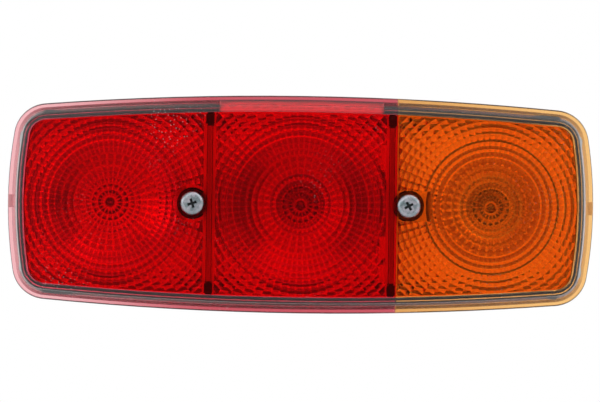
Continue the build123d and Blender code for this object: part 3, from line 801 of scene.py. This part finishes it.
def black_plastic():
    """Moulded black plastic. The dividers are painted pale with mirror sides, a painted glow that stands in
    for light carried along the lens ribs. The flange front at the ends is pale, partly a grey lug and partly
    painted light seen through the lip. There are pale seats under the lens.
    """
    material, tree, shader = new_finish("black_plastic", 0.45)
    surface = use_group(tree, grain, scale=1400.0, broad_scale=45.0)
    rubbed = use_group(tree, scuffs, scale=180.0, amount=0.5)
    tone = mix_colour(tree, surface["Tone"], (0.013, 0.013, 0.014), (0.024, 0.024, 0.026))
    worn = mix_colour(tree, rubbed["Mask"], tone, (0.05, 0.05, 0.052))
    split = split_place(tree)
    across = math_node(tree, "ABSOLUTE", split["X"])
    # Painted light: the flange front at the lamp's ends is pale, partly a grey lug and partly painted light
    # that lifts the shade seen through the lip
    at_end = map_range(tree, across, end_start, end_start + 4.0 * MM)
    facing = map_range(tree, split["Y"], flange_front + 0.02 * MM, flange_front + 0.06 * MM, 1.0, 0.0)
    pale = math_node(tree, "MULTIPLY", at_end, facing)
    # Painted glow: the dividers' fronts and sides are painted pale, standing in for light that the lens ribs
    # carry onto them
    glow_end = lip_front + divider_glow_depth
    in_front = map_range(tree, split["Y"], glow_end, glow_end + 1.0 * MM, 1.0, 0.0)
    divider_glow = math_node(tree, "MULTIPLY", partition_mask(tree, divider_reach), in_front)
    on_side = map_range(tree, partition_distance(tree), divider_side - 0.10 * MM, divider_side - 0.05 * MM)
    mirror = math_node(tree, "MULTIPLY", divider_glow, on_side)
    tree.links.new(mirror, shader.inputs["Metallic"])
    glow_colour = mix_colour(tree, mirror, (0.60, 0.60, 0.61), (0.92, 0.92, 0.93))
    bright = mix_colour(tree, divider_glow, worn, glow_colour)
    pillar = map_range(tree, screw_distance(tree), pillar_reach, pillar_reach + 0.3 * MM, 1.0, 0.0)
    near_lens = map_range(tree, split["Y"], lens_foot, lens_foot + seat_depth, 1.0, 0.0)
    seat = math_node(tree, "MULTIPLY", pillar, near_lens)
    seated = mix_colour(tree, seat, bright, (0.45, 0.45, 0.45))
    tree.links.new(mix_colour(tree, pale, seated, (0.85, 0.85, 0.85)), shader.inputs["Base Color"])
    tree.links.new(math_node(tree, "MULTIPLY_ADD", surface["Tone"], 0.14, 0.38), shader.inputs["Roughness"])
    add_bump(tree, shader, surface["Height"], 0.25, 0.06 * MM)
    return material


def seal_rubber(name, dark, light):
    """Dull rubber with a dusty bloom."""
    material, tree, shader = new_finish(name, 0.7)
    surface = use_group(tree, grain, scale=1100.0, broad_scale=60.0)
    bloom = mix_colour(tree, surface["Tone"], dark, light)
    tree.links.new(bloom, shader.inputs["Base Color"])
    tree.links.new(math_node(tree, "MULTIPLY_ADD", surface["Height"], 0.3, 0.5), shader.inputs["Roughness"])
    add_bump(tree, shader, surface["Height"], 0.4, 0.08 * MM)
    return material


def metal(name, dark, light, roughness, spread, grain_scale, broad_scale, bump, rubbed_amount):
    """Metal whose colour and gloss change in soft patches, with fine rubbed lines."""
    material, tree, shader = new_finish(name, roughness, 1.0)
    surface = use_group(tree, grain, scale=grain_scale, broad_scale=broad_scale)
    rubbed = use_group(tree, scuffs, scale=400.0, amount=rubbed_amount)
    tree.links.new(mix_colour(tree, surface["Tone"], dark, light), shader.inputs["Base Color"])
    patchy = math_node(tree, "MULTIPLY_ADD", surface["Tone"], spread, roughness)
    tree.links.new(math_node(tree, "ADD", patchy, rubbed["Mask"]), shader.inputs["Roughness"])
    add_bump(tree, shader, surface["Height"], bump, 0.05 * MM)
    return material


def bright_zinc(head_front):
    """Bright zinc plate in bluish and yellowish patches, with painted shade down in the cross recess."""
    material, tree, shader = new_finish("bright_zinc", 0.2, 1.0)
    surface = use_group(tree, grain, scale=900.0, broad_scale=420.0)
    rubbed = use_group(tree, scuffs, scale=400.0, amount=0.12)
    # Painted shade: the cross recess is painted near black, standing in for the shade down in it
    near = map_range(tree, screw_distance(tree), recess_shade_radius, recess_shade_radius + 0.2 * MM, 1.0, 0.0)
    depth = split_place(tree)["Y"]
    deep = map_range(tree, depth, head_front + 0.02 * MM, head_front + 0.35 * MM)
    recess_shade = math_node(tree, "MULTIPLY", near, deep)
    tone = mix_colour(tree, surface["Tone"], (0.20, 0.25, 0.265), (0.37, 0.35, 0.39))
    tree.links.new(mix_colour(tree, recess_shade, tone, (0.025, 0.028, 0.028)), shader.inputs["Base Color"])
    patchy = math_node(tree, "MULTIPLY_ADD", surface["Tone"], 0.12, 0.20)
    tree.links.new(math_node(tree, "ADD", patchy, rubbed["Mask"]), shader.inputs["Roughness"])
    add_bump(tree, shader, surface["Height"], 0.10, 0.05 * MM)
    return material


def bulb_glass():
    """Clear blown glass with a slow ripple."""
    material, tree, shader = new_finish("bulb_glass", 0.0)
    surface = use_group(tree, grain, scale=160.0, broad_scale=90.0)
    tint = mix_colour(tree, surface["Tone"], (0.93, 0.95, 0.95), (0.98, 0.99, 0.98))
    tree.links.new(tint, shader.inputs["Base Color"])
    add_bump(tree, shader, surface["Height"], 0.08, 0.3 * MM)
    shader.inputs["Transmission Weight"].default_value = 1.0
    shader.inputs["IOR"].default_value = bulb_ior
    return material


def black_glass():
    """Fused black glass, glossy and slightly wavy."""
    material, tree, shader = new_finish("black_glass", 0.12)
    surface = use_group(tree, grain, scale=500.0, broad_scale=150.0)
    tone = mix_colour(tree, surface["Tone"], (0.010, 0.008, 0.014), (0.028, 0.022, 0.034))
    tree.links.new(tone, shader.inputs["Base Color"])
    add_bump(tree, shader, surface["Height"], 0.2, 0.1 * MM)
    return material


finishes = {
    "red_lens": acrylic(
        "red_acrylic",
        colour=(0.98, 0.010, 0.032),
        deep_colour=(0.95, 0.007, 0.024),
        crown_colour_and_shade=(0.44, 0.003, 0.009),
        lip_colour=(0.60, 0.11, 0.14),
        lit_end_lip_colour=(0.98, 0.54, 0.57),
    ),
    "amber_lens": acrylic(
        "amber_acrylic",
        colour=(0.99, 0.355, 0.045),
        deep_colour=(0.97, 0.31, 0.035),
        crown_colour_and_shade=(0.76, 0.21, 0.022),
        lip_colour=(0.80, 0.40, 0.13),
        lit_end_lip_colour=(0.99, 0.58, 0.22),
    ),
    "black_plastic": black_plastic(),
    "seal_rubber": seal_rubber("seal_rubber", dark=(0.016, 0.016, 0.016), light=(0.040, 0.039, 0.038)),
    "plated_steel": metal(
        "plated_steel",
        dark=(0.50, 0.58, 0.60),
        light=(0.74, 0.72, 0.77),
        roughness=0.20,
        spread=0.12,
        grain_scale=900.0,
        broad_scale=420.0,
        bump=0.10,
        rubbed_amount=0.12,
    ),
    "brass": metal(
        "brass",
        dark=(0.62, 0.40, 0.16),
        light=(0.84, 0.63, 0.30),
        roughness=0.24,
        spread=0.16,
        grain_scale=700.0,
        broad_scale=160.0,
        bump=0.12,
        rubbed_amount=0.15,
    ),
    "metallised_plastic": metal(
        "metallised_plastic",
        dark=(0.90, 0.90, 0.91),
        light=(0.96, 0.96, 0.97),
        roughness=0.18,
        spread=0.05,
        grain_scale=300.0,
        broad_scale=50.0,
        bump=0.03,
        rubbed_amount=0.04,
    ),
    "bulb_glass": bulb_glass(),
    "bulb_wire": metal(
        "bulb_wire",
        dark=(0.30, 0.30, 0.32),
        light=(0.52, 0.51, 0.50),
        roughness=0.35,
        spread=0.15,
        grain_scale=2000.0,
        broad_scale=500.0,
        bump=0.3,
        rubbed_amount=0.1,
    ),
    "black_glass": black_glass(),
    "solder": metal(
        "solder",
        dark=(0.48, 0.48, 0.50),
        light=(0.70, 0.70, 0.71),
        roughness=0.32,
        spread=0.20,
        grain_scale=900.0,
        broad_scale=350.0,
        bump=0.5,
        rubbed_amount=0.1,
    ),
}
pale_rubber = seal_rubber("pale_seal_rubber", dark=(0.36, 0.36, 0.37), light=(0.48, 0.48, 0.48))
for part in frame["record"]["subparts"]:
    set_finish(cad[part["node"]], finishes[part["material_slot"]])
for piece in (red_lens, amber_lens, threaded_studs):
    set_finish(piece, finishes[piece["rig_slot"]])
set_finish(zinc_screws, bright_zinc(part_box("lens_screws")[0].y))
set_finish(cad["lens_seal"], pale_rubber)

# Floor, below the lamp
floor_level = -0.10
floor_half = 1.5
floor_far_edge = 0.2
bm = bmesh.new()
bmesh.ops.create_grid(bm, x_segments=8, y_segments=8, size=floor_half)
bmesh.ops.translate(bm, vec=(0, floor_far_edge - floor_half, floor_level), verts=bm.verts)
floor = new_piece("floor", bm, None)
floor_finish, tree, shader = new_finish("pale_floor", 0.6)
surface = use_group(tree, grain, scale=300.0, broad_scale=3.0)
floor_colour = mix_colour(tree, surface["Tone"], (0.82, 0.82, 0.82), (0.86, 0.86, 0.86))
tree.links.new(floor_colour, shader.inputs["Base Color"])
set_finish(floor, floor_finish)

# World: white behind the lamp, and lit walls round a darker patch behind the camera.
# Each stop is a direction and a level of light: 0 is straight towards the camera and 0.5 is sideways.
front_stops = (
    (0.0, 0.03),
    (0.0006, 0.03),
    (0.0013, 0.55),
    (0.004, 0.95),
    (0.03, 1.25),
    (0.15, 1.25),
    (0.25, 1.50),
)
right_gain = 0.10
patch_scale = 1.8
patch_dark = 0.60
patch_light = 1.50
shade_below = 0.05
shade_above = 0.06
steep_light = 0.8
middle_light = 0.60
end_near_light = 1.0
end_far_light = 0.66
world = bpy.data.worlds.new("studio")
scene.world = world
world.use_nodes = True
tree = world.node_tree
tree.nodes.clear()
way = add_node(tree, "ShaderNodeTexCoord").outputs["Generated"]
split = add_node(tree, "ShaderNodeSeparateXYZ", {0: way}).outputs
forward = math_node(tree, "MULTIPLY_ADD", split["Y"], 0.5, 0.5)
ramp = add_node(tree, "ShaderNodeValToRGB", {0: forward})
for stop in front_stops[1:-1]:
    ramp.color_ramp.elements.new(stop[0])
for element, (place, level) in zip(ramp.color_ramp.elements, front_stops):
    element.position = place
    element.color = (level, level, level, 1)
side = math_node(tree, "MULTIPLY_ADD", split["X"], right_gain, 1.0)
mirrored = add_node(tree, "ShaderNodeMapping", {"Vector": way, "Scale": (-1.0, 1.0, 1.0)}).outputs[0]
room = add_node(tree, "ShaderNodeTexNoise", {"Vector": mirrored, "Scale": patch_scale, "Detail": 1.0})
patches = map_range(tree, room.outputs["Fac"], 0.40, 0.60, patch_dark, patch_light)
front_light = math_node(tree, "MULTIPLY", math_node(tree, "MULTIPLY", ramp.outputs[0], side), patches)
# Behind the lamp the sheet is bright in the middle and at its ends, and shaded above and below
across = math_node(tree, "ABSOLUTE", split["X"])
up = math_node(tree, "ABSOLUTE", split["Z"])
shaded = map_range(tree, split["Z"], -0.1, 0.1, shade_below, shade_above)
far_light = map_range(tree, up, 0.45, 0.80, shaded, steep_light)
middle = map_range(tree, up, 0.02, 0.10, middle_light, 0.0)
high_low = math_node(tree, "MAXIMUM", far_light, middle)
end_light = map_range(tree, across, 0.05, 0.30, end_near_light, end_far_light)
spread = math_node(tree, "ADD", math_node(tree, "ADD", across, up), 0.002)
share = math_node(tree, "DIVIDE", across, spread)
sheet = add_node(tree, "ShaderNodeMix", {"Factor": share, 2: high_low, 3: end_light}).outputs[0]
behind = map_range(tree, split["Y"], 0.55, 0.85)
light = add_node(tree, "ShaderNodeMix", {"Factor": behind, 2: front_light, 3: sheet}).outputs[0]
# The camera sees white, and so do the glass and metal that look straight past the lamp
ray = add_node(tree, "ShaderNodeLightPath").outputs
straight = map_range(tree, split["Y"], 0.9985, 0.9995)
shown = math_node(tree, "MAXIMUM", ray["Is Glossy Ray"], ray["Is Transmission Ray"])
seen = math_node(tree, "MAXIMUM", ray["Is Camera Ray"], math_node(tree, "MULTIPLY", shown, straight))
view = add_node(tree, "ShaderNodeMix", {"Factor": seen, 2: light, 3: 1.0}).outputs[0]
background = add_node(tree, "ShaderNodeBackground", {"Color": view})
add_node(tree, "ShaderNodeOutputWorld", {"Surface": background.outputs[0]})

# Camera: face on, far off, with the lamp turned a little in the picture
image_width = 600
image_height = 402
scale_mm = 0.40
camera_distance = 6.0
sensor_width = 36.0
flange_plane = -32.0 * MM
lamp_pixel = (300.5, 204.7)
roll = math.radians(0.8)
camera_data = bpy.data.cameras.new("camera")
camera = bpy.data.objects.new("camera", camera_data)
scene.collection.objects.link(camera)
scene.camera = camera
view_width = image_width * scale_mm * MM
camera_data.sensor_width = sensor_width
camera_data.lens = sensor_width * camera_distance / view_width
camera_data.clip_end = 100
camera.matrix_world = (
    Matrix.Translation((0, flange_plane - camera_distance, 0))
    @ Matrix.Rotation(math.radians(90), 4, "X")
    @ Matrix.Rotation(roll, 4, "Z")
)
camera_data.shift_x = (image_width / 2 - lamp_pixel[0]) / image_width
camera_data.shift_y = (lamp_pixel[1] - image_height / 2) / image_width
scene.view_settings.view_transform = "Standard"
